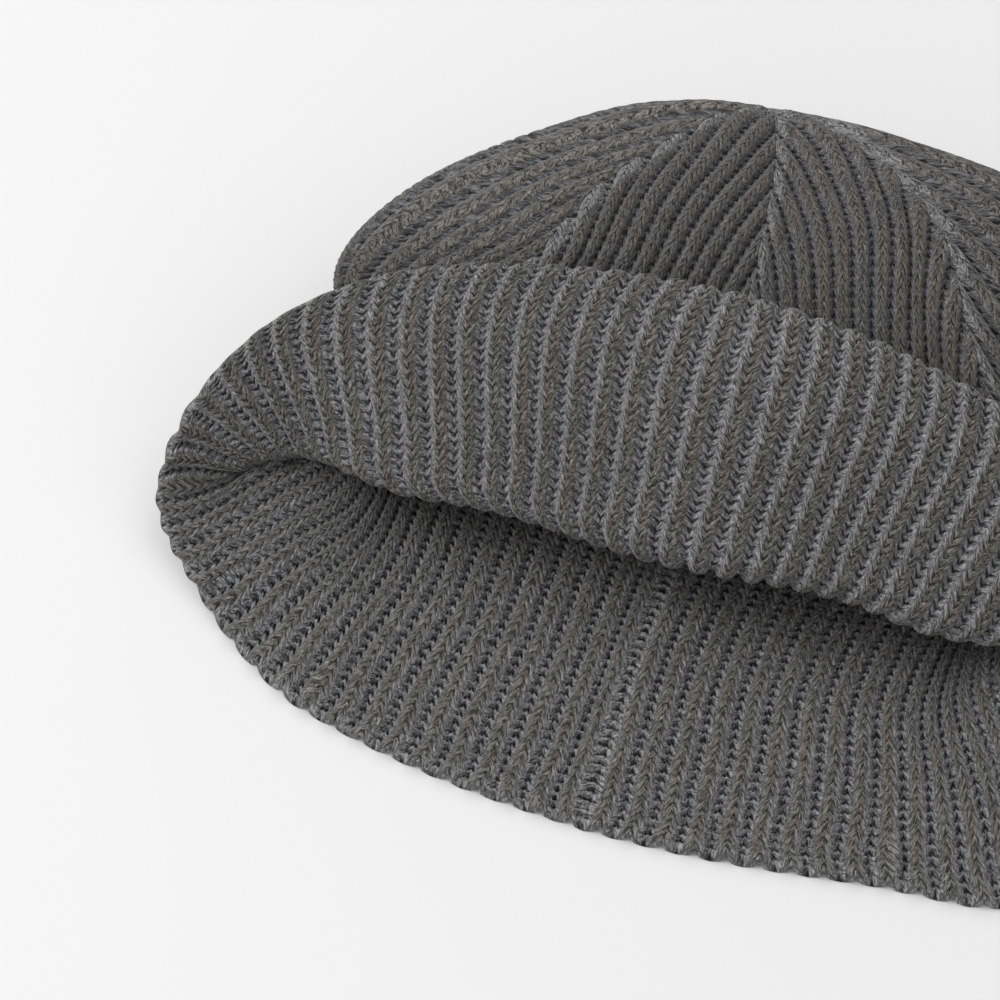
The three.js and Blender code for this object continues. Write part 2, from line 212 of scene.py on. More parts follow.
class Fabric:
    """The hat's cloth as one surface, by turns round from the back seam and courses from the free edge."""

    def __init__(self) -> None:
        """Works out the rings of control points."""
        self.courses = np.array([row.course for row in COURSES])
        self.rings = np.array([row.ring() for row in COURSES])
        self.edge = FREE_EDGE.ring()[None]

    def ring_points(self, rings: np.ndarray, turns: np.ndarray) -> np.ndarray:
        """Points on each ring.

        Args:
            rings: control points, ring by ring.
            turns: places round the hat.

        Returns:
            An array with a ring's points in each row.
        """
        knots = np.concatenate([WALE_TURNS[-1:] - 1, WALE_TURNS, WALE_TURNS[:2] + 1])
        points = np.concatenate([rings[:, -1:], rings, rings[:, :2]], axis=1)
        turn = np.mod(turns, 1.0)
        j = np.searchsorted(WALE_TURNS, turn, side="right")
        span = knots[j + 1] - knots[j]
        slopes = [
            (points[:, j + k + 1] - points[:, j + k - 1])
            * (span / (knots[j + k + 1] - knots[j + k - 1]))[..., None]
            for k in (0, 1)
        ]
        t = np.broadcast_to((turn - knots[j]) / span, slopes[0].shape[:-1])
        return hermite(points[:, j], points[:, j + 1], slopes[0], slopes[1], t)

    def tube(self, turns: np.ndarray, course: np.ndarray) -> np.ndarray:
        """Middle of the fabric before the front is turned up.

        Args:
            turns: places round the hat.
            course: distances from the free edge; turns and course broadcast together.

        Returns:
            The points, in millimetres.
        """
        turns, course = np.broadcast_arrays(turns, course)
        rings = self.ring_points(self.rings, turns)
        last = len(self.courses) - 1
        i = np.clip(np.searchsorted(self.courses, course, side="left") - 1, 0, last - 1)
        low = np.maximum(i - 1, 0)
        high = np.minimum(i + 2, last)
        point = {k: np.take_along_axis(rings, k_index[None, ..., None], axis=0)[0]
                 for k, k_index in (("low", low), ("b", i), ("c", i + 1), ("high", high))}
        span = self.courses[i + 1] - self.courses[i]
        slope_b = (point["c"] - point["low"]) * (span / (self.courses[i + 1] - self.courses[low]))[..., None]
        slope_c = (point["high"] - point["b"]) * (span / (self.courses[high] - self.courses[i]))[..., None]
        return hermite(point["b"], point["c"], slope_b, slope_c, (course - self.courses[i]) / span)

    def turn_depth(self, turns: np.ndarray) -> np.ndarray:
        """Fabric beyond the fold, turned up at the front and lying flat at the back."""
        ribs = np.abs(np.mod(turns, 1.0) - 0.5) * RIBS
        return np.maximum(LEAST_TURN, TURN_DEPTH * (1 - (ribs / TURN_RIBS) ** TURN_TAPER))

    def tube_frame(self, turns: np.ndarray, course: np.ndarray) -> tuple[np.ndarray, np.ndarray]:
        """Directions of the tube at places on it.

        Args:
            turns: places round the hat.
            course: distances from the free edge.

        Returns:
            The direction along the wale and the outward normal at each place.
        """
        along = unit(self.tube(turns, course + STEP_COURSE) - self.tube(turns, course - STEP_COURSE))
        round_hat = self.tube(turns + STEP_TURN, course) - self.tube(turns - STEP_TURN, course)
        return along, unit(np.cross(round_hat, along))

    def middle(self, turns: np.ndarray, course: np.ndarray) -> np.ndarray:
        """Middle of the fabric as it lies: the tube, a roll round the fold and a flap to the free edge.

        Args:
            turns: places round the hat.
            course: distances from the free edge; turns and course broadcast together.

        Returns:
            The points, in millimetres, before the hat is centred.
        """
        points = self.tube(turns, np.maximum(course, 0))
        if np.min(course) >= JOIN_COURSE:
            return points
        fold = self.turn_depth(turns)
        start = self.tube(turns, fold)
        along, normal = self.tube_frame(turns, fold)
        reach = self.ring_points(self.edge, turns)[0] - start
        forward = -along
        aside = reach - forward * dot(reach, forward)[..., None]
        aside = np.where(dot(aside, normal)[..., None] < 0, -aside, aside)
        out = unit(aside + normal * 0.001)
        radius = np.minimum(ROLL_RADIUS, fold * ROLL_SHARE)
        ex = dot(reach, forward)
        ey = dot(reach, out) - radius
        angle = np.arctan2(ey, ex) + np.arcsin(np.minimum(1.0, radius / np.hypot(ex, ey)))
        arc = radius * np.maximum(angle, 0)
        leave = start + self._roll(forward, out, radius, angle)
        end = start + reach
        straight = np.linalg.norm(end - leave, axis=-1)
        travel = (arc + straight) * (1 - course / fold)
        rolled = start + self._roll(forward, out, radius, np.clip(travel, 0, arc) / radius)
        t = np.maximum(travel - arc, 0) / straight
        swell = FLAP_SWELL * (fold / TURN_DEPTH) * SWELL_UNIT * t * t * np.maximum(1 - t, 0)
        flap = leave + (end - leave) * t[..., None] + out * swell[..., None]
        turned = np.where((travel < arc)[..., None], rolled, flap)
        return np.where((course < fold)[..., None], turned, points)

    @staticmethod
    def _roll(forward: np.ndarray, out: np.ndarray, radius: np.ndarray, angle: np.ndarray) -> np.ndarray:
        """Offset from the start of the roll after it has turned by an angle."""
        return (forward * (radius * np.sin(angle))[..., None]
                + out * (radius * (1 - np.cos(angle)))[..., None])

    def normal(self, turns: np.ndarray, course: np.ndarray) -> np.ndarray:
        """Unit normal on the side that was outside before the front was turned up.

        Args:
            turns: places round the hat.
            course: distances from the free edge.

        Returns:
            The normal at each place.
        """
        c = np.clip(course, 0, APEX_COURSE - APEX_MARGIN)
        along = self.middle(turns, c + STEP_COURSE) - self.middle(turns, np.maximum(c - STEP_COURSE, 0))
        round_hat = self.middle(turns + STEP_TURN, c) - self.middle(turns - STEP_TURN, c)
        return unit(np.cross(round_hat, along))


class Face(Enum):
    """The two faces of the fabric."""

    OUTER = 1
    INNER = -1


@dataclass
class Weave:
    """Points of one face of a panel, row by row from the free edge, as flat arrays with row starts."""

    face: Face
    turns: list[np.ndarray] = field(default_factory=list)
    course: list[np.ndarray] = field(default_factory=list)
    ribs: list[np.ndarray] = field(default_factory=list)
    thin: list[np.ndarray] = field(default_factory=list)

    def row(self, turns: np.ndarray, course: float, ribs: np.ndarray, thin: float = 1.0) -> None:
        """Adds a row.

        Args:
            turns: places round the hat.
            course: distance from the free edge.
            ribs: rib phase of each point, whole on an outer wale.
            thin: share of the wall left, below 1 where the free edge rounds off.
        """
        self.turns.append(turns)
        self.course.append(np.full(len(turns), float(course)))
        self.ribs.append(ribs)
        self.thin.append(np.full(len(turns), thin))

    def starts(self) -> np.ndarray:
        """Index of each row's first point, and the end."""
        return np.concatenate([[0], np.cumsum([len(row) for row in self.turns])])


def zip_rows(low: np.ndarray, high: np.ndarray, low_at: np.ndarray, high_at: np.ndarray) -> np.ndarray:
    """Triangles between two rows of points, in step with where the points stand.

    Args:
        low, high: the rows' point numbers.
        low_at, high_at: where each point stands along its row, rising.

    Returns:
        Triangles, turning the same way as low to high is left of the rows' direction.
    """
    if len(low) == len(high) and np.allclose(low_at, high_at, atol=1e-4):
        a, b, c, d = low[:-1], low[1:], high[:-1], high[1:]
        return np.concatenate([np.stack([a, b, d], 1), np.stack([a, d, c], 1)])
    triangles = []
    i = j = 0
    while i < len(low) - 1 or j < len(high) - 1:
        forward_low = i < len(low) - 1 and (j == len(high) - 1 or low_at[i + 1] <= high_at[j + 1])
        if forward_low:
            triangles.append((low[i], low[i + 1], high[j]))
            i += 1
        else:
            triangles.append((low[i], high[j + 1], high[j]))
            j += 1
    return np.array(triangles)


def seam_shift(ribs: np.ndarray) -> np.ndarray:
    """How far the back seam's wide middle groove draws the knit of the inner face towards it.

    Args:
        ribs: places across, whole at the seam.

    Returns:
        The shift at each place, in ribs.
    """
    from_seam = np.mod(ribs + RIBS / 2, RIBS) - RIBS / 2
    rise = np.clip((from_seam + SEAM_RIGHT) / (SEAM_RIGHT + SEAM_LEFT), 0, 1)
    fall = np.clip((from_seam - SEAM_LEFT) / SEAM_FADE, 0, 1)
    return (SEAM_LEFT - GROOVE_HALF) * rise * rise * (3 - 2 * rise) * (1 - fall * fall * (3 - 2 * fall))


@dataclass
class Panel:
    """One knitted panel of the hat, closed round its edges: a name, its two faces and what it stands for."""

    name: str
    node: str
    slot: str
    outer: Weave
    inner: Weave

    def build(self, fabric: Fabric) -> bpy.types.Object:
        """Makes the panel's mesh on the middle of the fabric, with what the knit tree needs on each point.

        Args:
            fabric: the cloth's surface.

        Returns:
            The object, whose mesh is not displaced yet.
        """
        places, outward, marks, triangles, loops = [], [], [], [], []
        offset = 0
        for weave in (self.outer, self.inner):
            turns = np.concatenate(weave.turns)
            course = np.concatenate(weave.course)
            places.append(self._points(fabric, turns, course, weave))
            outward.append(self._normals(fabric, weave) * weave.face.value)
            ribs = np.concatenate(weave.ribs)
            if weave.face is Face.INNER:
                ribs = ribs + 0.5 - seam_shift(ribs)
            marks.append(np.stack([ribs, course / STITCH_COURSE, np.concatenate(weave.thin)], 1))
            starts = weave.starts() + offset
            rows = [np.arange(a, b) for a, b in zip(starts[:-1], starts[1:])]
            for r in range(len(rows) - 1):
                faces = zip_rows(rows[r], rows[r + 1], weave.ribs[r], weave.ribs[r + 1])
                triangles.append(faces if weave.face is Face.OUTER else faces[:, ::-1])
            loops.append(self._loop(rows, weave))
            offset += len(turns)
        walls = zip_rows(loops[1][0], loops[0][0], loops[1][1], loops[0][1])
        triangles.append(walls)
        return self._mesh(np.concatenate(places), np.concatenate(outward), np.concatenate(marks),
                          np.concatenate(triangles), len(walls))

    def _normals(self, fabric: Fabric, weave: Weave) -> np.ndarray:
        """Normals of a face's points, taken as a grid where all its rows are as long.

        Args:
            fabric: the cloth's surface.
            weave: the face.

        Returns:
            A normal for each point, in the order of the face's rows.
        """
        if len({len(row) for row in weave.turns}) == 1:
            course = np.array([row[0] for row in weave.course])[:, None]
            return fabric.normal(weave.turns[0][None], course).reshape(-1, 3)
        return fabric.normal(np.concatenate(weave.turns), np.concatenate(weave.course))

    def _points(self, fabric: Fabric, turns: np.ndarray, course: np.ndarray, weave: Weave) -> np.ndarray:
        """Points of a face on the middle of the fabric; rows before the free edge go on past it.

        Args:
            fabric: the cloth's surface.
            turns, course: the face's places, as flat arrays.
            weave: the face, row by row.

        Returns:
            The points, in millimetres, with the hat centred.
        """
        if len({len(row) for row in weave.turns}) == 1:
            columns = weave.turns[0][None]
            rows = np.array([row[0] for row in weave.course])[:, None]
            points = fabric.middle(columns, np.maximum(rows, 0)).reshape(-1, 3)
        else:
            points = fabric.middle(turns, course)
        beyond = course < 0
        if beyond.any():
            at = turns[beyond]
            edge = fabric.middle(at, np.zeros_like(at))
            inside = fabric.middle(at, np.full_like(at, 2 * STEP_COURSE))
            points[beyond] = edge + unit(edge - inside) * -course[beyond][:, None]
        return points - np.array([CENTRE[0], CENTRE[1], 0.0])

    @staticmethod
    def _loop(rows: list[np.ndarray], weave: Weave) -> tuple[np.ndarray, np.ndarray]:
        """A face's boundary, once round and closed.

        Args:
            rows: the face's point numbers, row by row.
            weave: the face.

        Returns:
            The boundary's point numbers, and where each of them stands: a whole number at each corner.
        """
        bottom = (weave.ribs[0] - weave.ribs[0][0]) / max(np.ptp(weave.ribs[0]), 1e-9)
        top = (weave.ribs[-1][-1] - weave.ribs[-1][::-1]) / max(np.ptp(weave.ribs[-1]), 1e-9)
        course = np.array([row[0] for row in weave.course])
        rise = (course - course[0]) / (course[-1] - course[0])
        right = np.array([row[-1] for row in rows[1:-1]], dtype=int)
        left = np.array([row[0] for row in rows[1:-1]][::-1], dtype=int)
        points = np.concatenate([rows[0], right, rows[-1][::-1], left, rows[0][:1]])
        stands = np.concatenate([bottom, 1 + rise[1:-1], 2 + top, 4 - rise[1:-1][::-1], [4.0]])
        return points, stands

    def _mesh(self, places: np.ndarray, outward: np.ndarray, marks: np.ndarray,
              triangles: np.ndarray, wall_count: int) -> bpy.types.Object:
        """Puts the arrays into a mesh with its knit coordinates as a UV map.

        Args:
            places: the points, in millimetres.
            outward: the way each point is raised.
            marks: rib phase, stitch and share of the wall at each point.
            triangles: point numbers, three by three, the panel's cut sides last.
            wall_count: how many triangles the cut sides have.

        Returns:
            The panel's object.
        """
        keep = (triangles[:, 0] != triangles[:, 1]) & (triangles[:, 1] != triangles[:, 2])
        keep &= triangles[:, 0] != triangles[:, 2]
        wall = np.zeros(len(triangles), dtype=bool)
        wall[-wall_count:] = True
        triangles, wall = triangles[keep], wall[keep]
        mesh = bpy.data.meshes.new(self.name)
        mesh.vertices.add(len(places))
        mesh.vertices.foreach_set("co", (places * MM).astype(np.float32).ravel())
        mesh.loops.add(3 * len(triangles))
        mesh.loops.foreach_set("vertex_index", triangles.astype(np.int32).ravel())
        mesh.polygons.add(len(triangles))
        mesh.polygons.foreach_set("loop_start", np.arange(0, 3 * len(triangles), 3, dtype=np.int32))
        mesh.update(calc_edges=True)
        for name, kind, values in (("outward", "FLOAT_VECTOR", outward), ("marks", "FLOAT_VECTOR", marks)):
            layer = mesh.attributes.new(name, kind, "POINT")
            layer.data.foreach_set("vector", values.astype(np.float32).ravel())
        walls = mesh.attributes.new("wall", "BOOLEAN", "FACE")
        walls.data.foreach_set("value", wall)
        uv = mesh.uv_layers.new(name="knit")
        uv.data.foreach_set("uv", marks[triangles.ravel(), :2].astype(np.float32).ravel())
        piece = bpy.data.objects.new(self.name, mesh)
        bpy.context.scene.collection.objects.link(piece)
        return piece


class Signal:
    """A socket of a node tree in arithmetic: an expression on signals adds its Math nodes."""

    def __init__(self, nodes: "Nodes", socket: bpy.types.NodeSocket) -> None:
        """Wraps a socket of a tree."""
        self.nodes = nodes
        self.socket = socket

    def _math(self, operation: str, *values: Number) -> "Signal":
        """Adds a Math node on the values."""
        node = self.nodes.add("ShaderNodeMath", {"operation": operation}, dict(enumerate(values)))
        return Signal(self.nodes, node.outputs[0])

    def __add__(self, other: Number) -> "Signal":
        """Sum."""
        return self._math("ADD", self, other)

    def __radd__(self, other: Number) -> "Signal":
        """Sum with a number first."""
        return self._math("ADD", other, self)

    def __sub__(self, other: Number) -> "Signal":
        """Difference."""
        return self._math("SUBTRACT", self, other)

    def __rsub__(self, other: Number) -> "Signal":
        """Difference from a number."""
        return self._math("SUBTRACT", other, self)

    def __mul__(self, other: Number) -> "Signal":
        """Product."""
        return self._math("MULTIPLY", self, other)

    def __rmul__(self, other: Number) -> "Signal":
        """Product with a number first."""
        return self._math("MULTIPLY", other, self)

    def __truediv__(self, other: Number) -> "Signal":
        """Quotient."""
        return self._math("DIVIDE", self, other)

    def __rtruediv__(self, other: Number) -> "Signal":
        """Quotient with a number first."""
        return self._math("DIVIDE", other, self)

    def __pow__(self, power: Number) -> "Signal":
        """Power."""
        return self._math("POWER", self, power)

    def __rpow__(self, base: Number) -> "Signal":
        """Power of a number."""
        return self._math("POWER", base, self)

    def __abs__(self) -> "Signal":
        """Distance from zero."""
        return self._math("ABSOLUTE", self)

    def round(self) -> "Signal":
        """Nearest whole number."""
        return self._math("ROUND", self)

    def sine(self) -> "Signal":
        """Sine of an angle in radians."""
        return self._math("SINE", self)

    def cosine(self) -> "Signal":
        """Cosine of an angle in radians."""
        return self._math("COSINE", self)

    def wrap(self, span: float) -> "Signal":
        """What is left after whole spans."""
        return self._math("FLOORED_MODULO", self, span)

    def least(self, other: Number) -> "Signal":
        """The lower of two."""
        return self._math("MINIMUM", self, other)

    def most(self, other: Number) -> "Signal":
        """The higher of two."""
        return self._math("MAXIMUM", self, other)

    def smooth(self, low: float, high: float) -> "Signal":
        """A smooth step.

        Args:
            low: where the step is 0.
            high: where the step is 1.

        Returns:
            The step.
        """
        node = self.nodes.add("ShaderNodeMapRange", {"interpolation_type": "SMOOTHSTEP"},
                              {"Value": self, "From Min": low, "From Max": high,
                               "To Min": 0.0, "To Max": 1.0})
        return Signal(self.nodes, node.outputs["Result"])

    def between(self, a: Number, b: Number) -> "Signal":
        """Goes from a to b as this goes from 0 to 1."""
        return a + (b - a) * self


class Nodes:
    """Adds nodes to one shader or geometry tree."""

    def __init__(self, tree: bpy.types.NodeTree) -> None:
        """Keeps the tree."""
        self.tree = tree

    def add(self, kind: str, settings: dict[str, Any] | None = None,
            values: dict[str | int, Any] | None = None) -> bpy.types.Node:
        """Adds one node.

        Args:
            kind: the node's type.
            settings: properties, set first.
            values: values or links of its sockets, by name or number.

        Returns:
            The node.
        """
        node = self.tree.nodes.new(kind)
        for name, value in (settings or {}).items():
            setattr(node, name, value)
        for key, value in (values or {}).items():
            if isinstance(value, Signal):
                self.tree.links.new(value.socket, node.inputs[key])
            elif isinstance(value, bpy.types.NodeSocket):
                self.tree.links.new(value, node.inputs[key])
            else:
                node.inputs[key].default_value = value
        return node

    def signal(self, node: bpy.types.Node, output: str | int = 0) -> Signal:
        """One output of a node, ready for arithmetic."""
        return Signal(self, node.outputs[output])

    def mix_color(self, factor: Number, a: Any, b: Any, blend: str = "MIX") -> bpy.types.NodeSocket:
        """Mixes two colours.

        Args:
            factor: share of the second.
            a, b: the colours, as values or sockets.
            blend: how they mix.

        Returns:
            The mixed colour's socket.
        """
        node = self.add("ShaderNodeMix", {"data_type": "RGBA", "blend_type": blend},
                        {0: factor, 6: a, 7: b})
        return node.outputs[2]


@dataclass(frozen=True)
class Stitch:
    """Where a stitch's strands and holes lie, in ribs across and stitches along."""

    wale_half: float = 0.29
    wale_blend: float = 0.035
    wale_slant: float = 1.3
    groove_slant: float = 0.7
    wale_hole: float = 0.9
    groove_hole: float = 1.05
    wale_taper: float = 2.4
    groove_taper: float = 1.1
    hole_end: float = 0.03
    hole_fade: float = 0.7

    def read(self, ribs: Signal, stitches: Signal) -> dict[str, Signal]:
        """Works out the pattern at a place.

        Args:
            ribs: place across, whole in the middle of a wale.
            stitches: place along, in stitches from the free edge.

        Returns:
            Signals by name: wale (1 on a wale, 0 in a groove), distance (from the wale's middle, in ribs),
            across and groove (0 in the middle of each, 1 where they meet), turn (whole between two
            strands), strand (height of a strand's round) and hole (1 in the holes between strands).
        """
        distance = abs(ribs - ribs.round())
        wale = 1 - distance.smooth(self.wale_half - self.wale_blend, self.wale_half + self.wale_blend)
        across = (distance / self.wale_half).least(1.0)
        groove = ((0.5 - distance) / (0.5 - self.wale_half)).least(1.0)
        wale_turn = stitches + across * self.wale_slant
        groove_turn = stitches + groove * self.groove_slant + 0.5
        wale_strand = abs((wale_turn * math.pi).sine())
        groove_strand = abs((groove_turn * math.pi).sine())
        wale_hole = self._hole(wale_strand, across, self.wale_hole, self.wale_taper)
        groove_hole = self._hole(groove_strand, groove, self.groove_hole, self.groove_taper)
        return {"wale": wale, "distance": distance, "across": across, "groove": groove,
                "turn": wale.between(groove_turn, wale_turn),
                "strand": wale.between(groove_strand, wale_strand),
                "hole": wale.between(groove_hole, wale_hole)}

    def _hole(self, strand: Signal, across: Signal, size: float, taper: float) -> Signal:
        """A hole between two strands, widest in the middle of their chevron.

        Args:
            strand: height of the strands' round.
            across: 0 in the middle of the wale or groove, 1 at its side.
            size: the hole's share of a stitch in the middle.
            taper: how fast it narrows to the side.

        Returns:
            1 in the hole, 0 beside it.
        """
        room = (1 - across).most(0.0) ** taper * size + self.hole_end
        return (1 - (strand / room).least(1.0)).smooth(0.0, self.hole_fade)


@dataclass(frozen=True)
class KnitRelief:
    """The geometry tree that raises ribs and stitches from the middle of the fabric, in metres."""

    name: str
    wale_top: float = (WALL / 2 + RIB_DEPTH) * MM
    groove_top: float = (WALL / 2 - RIB_DEPTH) * MM
    strand: float = 0.22 * MM
    hole: float = 0.5 * MM
    groove_strand: float = 0.45 * MM
    strand_mean: float = 0.6
    shoulder_reach: float = 0.4
    shoulder_round: float = 2.4
    shoulder_flat: float = 0.7
    stitch: Stitch = Stitch()

    def tree(self) -> bpy.types.GeometryNodeTree:
        """Builds the tree with its named inputs.

        Returns:
            The tree.
        """
        tree = bpy.data.node_groups.new(self.name, "GeometryNodeTree")
        tree.interface.new_socket("Geometry", in_out="INPUT", socket_type="NodeSocketGeometry")
        tree.interface.new_socket("Finish", in_out="INPUT", socket_type="NodeSocketMaterial")
        for name in self._sizes():
            tree.interface.new_socket(name, in_out="INPUT", socket_type="NodeSocketFloat")
        tree.interface.new_socket("Geometry", in_out="OUTPUT", socket_type="NodeSocketGeometry")
        nodes = Nodes(tree)
        group = nodes.add("NodeGroupInput")
        marks = self._attribute(nodes, "marks", "FLOAT_VECTOR")
        outward = self._attribute(nodes, "outward", "FLOAT_VECTOR")
        parts = nodes.add("ShaderNodeSeparateXYZ", None, {0: marks})
        ribs, stitches, thin = (nodes.signal(parts, k) for k in range(3))
        height = self._height(nodes, group, ribs, stitches, thin)
        raised = nodes.add("ShaderNodeVectorMath", {"operation": "SCALE"}, {0: outward, "Scale": height})
        position = nodes.add("GeometryNodeInputPosition")
        offset = self._pressed(nodes, position.outputs[0], raised.outputs[0])
        moved = nodes.add("GeometryNodeSetPosition", None,
                          {"Geometry": group.outputs["Geometry"], "Offset": offset})
        smooth = self._smoothed(nodes, moved.outputs[0])
        realized = nodes.add("GeometryNodeRealizeInstances", None, {"Geometry": smooth})
        dressed = nodes.add("GeometryNodeSetMaterial", None,
                            {"Geometry": realized.outputs[0], "Material": group.outputs["Finish"]})
        nodes.add("NodeGroupOutput", None, {0: dressed.outputs[0]})
        return tree

    def _sizes(self) -> dict[str, float]:
        """The tree's sizes by the names of its inputs."""
        return {"Wale Top": self.wale_top, "Groove Top": self.groove_top, "Strand": self.strand,
                "Hole": self.hole, "Groove Strand": self.groove_strand}

    @staticmethod
    def _attribute(nodes: Nodes, name: str, kind: str) -> bpy.types.NodeSocket:
        """Reads a named attribute."""
        node = nodes.add("GeometryNodeInputNamedAttribute", {"data_type": kind}, {"Name": name})
        return node.outputs["Attribute"]

    def _height(self, nodes: Nodes, group: bpy.types.Node, ribs: Signal, stitches: Signal,
                thin: Signal) -> Signal:
        """Height of the surface above the middle of the fabric.

        Args:
            nodes: the tree's nodes.
            group: the tree's input node.
            ribs: place across, whole in the middle of a wale.
            stitches: place along, in stitches from the free edge.
            thin: share of the wall left.

        Returns:
            The height, in metres.
        """
        sizes = {name: nodes.signal(group, name) for name in self._sizes()}
        parts = self.stitch.read(ribs, stitches)
        slope = (parts["distance"] / self.shoulder_reach).least(1.0) ** self.shoulder_round
        shoulder = (1 - slope).most(0.0) ** self.shoulder_flat
        base = shoulder.between(sizes["Groove Top"], sizes["Wale Top"])
        strand = parts["wale"].between(sizes["Groove Strand"], sizes["Strand"])
        relief = strand * (parts["strand"] - self.strand_mean) - parts["hole"] * sizes["Hole"]
        middle = (ribs * (2 * math.pi)).cosine() * (RIB_DEPTH * MM)
        return middle + (base - middle + relief) * thin

    @staticmethod
    def _pressed(nodes: Nodes, position: bpy.types.NodeSocket,
                 raised: bpy.types.NodeSocket) -> bpy.types.NodeSocket:
        """Presses the underside flat where the fabric lies on the floor.

        Args:
            nodes: the tree's nodes.
            position: the points on the middle of the fabric.
            raised: how far each would be moved.

        Returns:
            How far each is moved.
        """
        place = nodes.add("ShaderNodeSeparateXYZ", None, {0: position})
        step = nodes.add("ShaderNodeSeparateXYZ", None, {0: raised})
        middle = nodes.signal(place, 2)
        rise = nodes.signal(step, 2)
        free = middle.smooth(FLOOR_MIDDLE * MM, (FLOOR_MIDDLE + PRESS_BAND) * MM)
        below = (middle + rise) * free
        under = rise.smooth(0.0, UNDER_EDGE * MM)
        height = under.between(middle + rise, below).most(0.0)
        joined = nodes.add("ShaderNodeCombineXYZ", None,
                           {0: step.outputs[0], 1: step.outputs[1], 2: height - middle})
        return joined.outputs[0]

    @staticmethod
    def _smoothed(nodes: Nodes, geometry: bpy.types.NodeSocket) -> bpy.types.NodeSocket:
        """Shades the faces smooth, and the panel's cut sides flat.

        Args:
            nodes: the tree's nodes.
            geometry: the raised panel.

        Returns:
            The shaded panel's socket.
        """
        cut = nodes.add("GeometryNodeInputNamedAttribute", {"data_type": "BOOLEAN"},
                        {"Name": "wall"}).outputs["Attribute"]
        flat = nodes.add("GeometryNodeSetShadeSmooth", {"domain": "FACE"},
                         {"Geometry": geometry, "Selection": cut, "Shade Smooth": False})
        rest = nodes.add("FunctionNodeBooleanMath", {"operation": "NOT"}, {0: cut})
        smooth = nodes.add("GeometryNodeSetShadeSmooth", {"domain": "FACE"},
                           {"Geometry": flat.outputs[0], "Selection": rest.outputs[0], "Shade Smooth": True})
        return smooth.outputs[0]

    def raise_on(self, piece: bpy.types.Object, tree: bpy.types.GeometryNodeTree,
                 finish: bpy.types.Material) -> bpy.types.Object:
        """Runs the tree on a panel and takes the result as a plain mesh.

        Args:
            piece: the panel, on the middle of the fabric.
            tree: the relief's tree.
            finish: the panel's material.

        Returns:
            The panel, with its final mesh.
        """
        modifier = piece.modifiers.new(self.name, "NODES")
        modifier.node_group = tree
        values = {"Finish": finish, **self._sizes()}
        for item in tree.interface.items_tree:
            if item.in_out == "INPUT" and item.name in values:
                modifier[item.identifier] = values[item.name]
        graph = bpy.context.evaluated_depsgraph_get()
        mesh = bpy.data.meshes.new_from_object(piece.evaluated_get(graph), depsgraph=graph)
        piece.modifiers.clear()
        old = piece.data
        piece.data = mesh
        bpy.data.meshes.remove(old)
        mesh.name = piece.name
        for name in ("outward", "marks", "wall"):
            if name in mesh.attributes:
                mesh.attributes.remove(mesh.attributes[name])
        return piece


class Layer(Enum):
    """Depths in the noise at which each unevenness of the yarn is read."""

    HOLE = 1.0
    WANDER = 3.0
    STRAY = 5.0
    MARL = 7.0
    SHAKE = 9.0


class Seam(Enum):
    """Which seams a knit's pale strands run beside."""

    BACK = "back"
    DARTS = "darts"


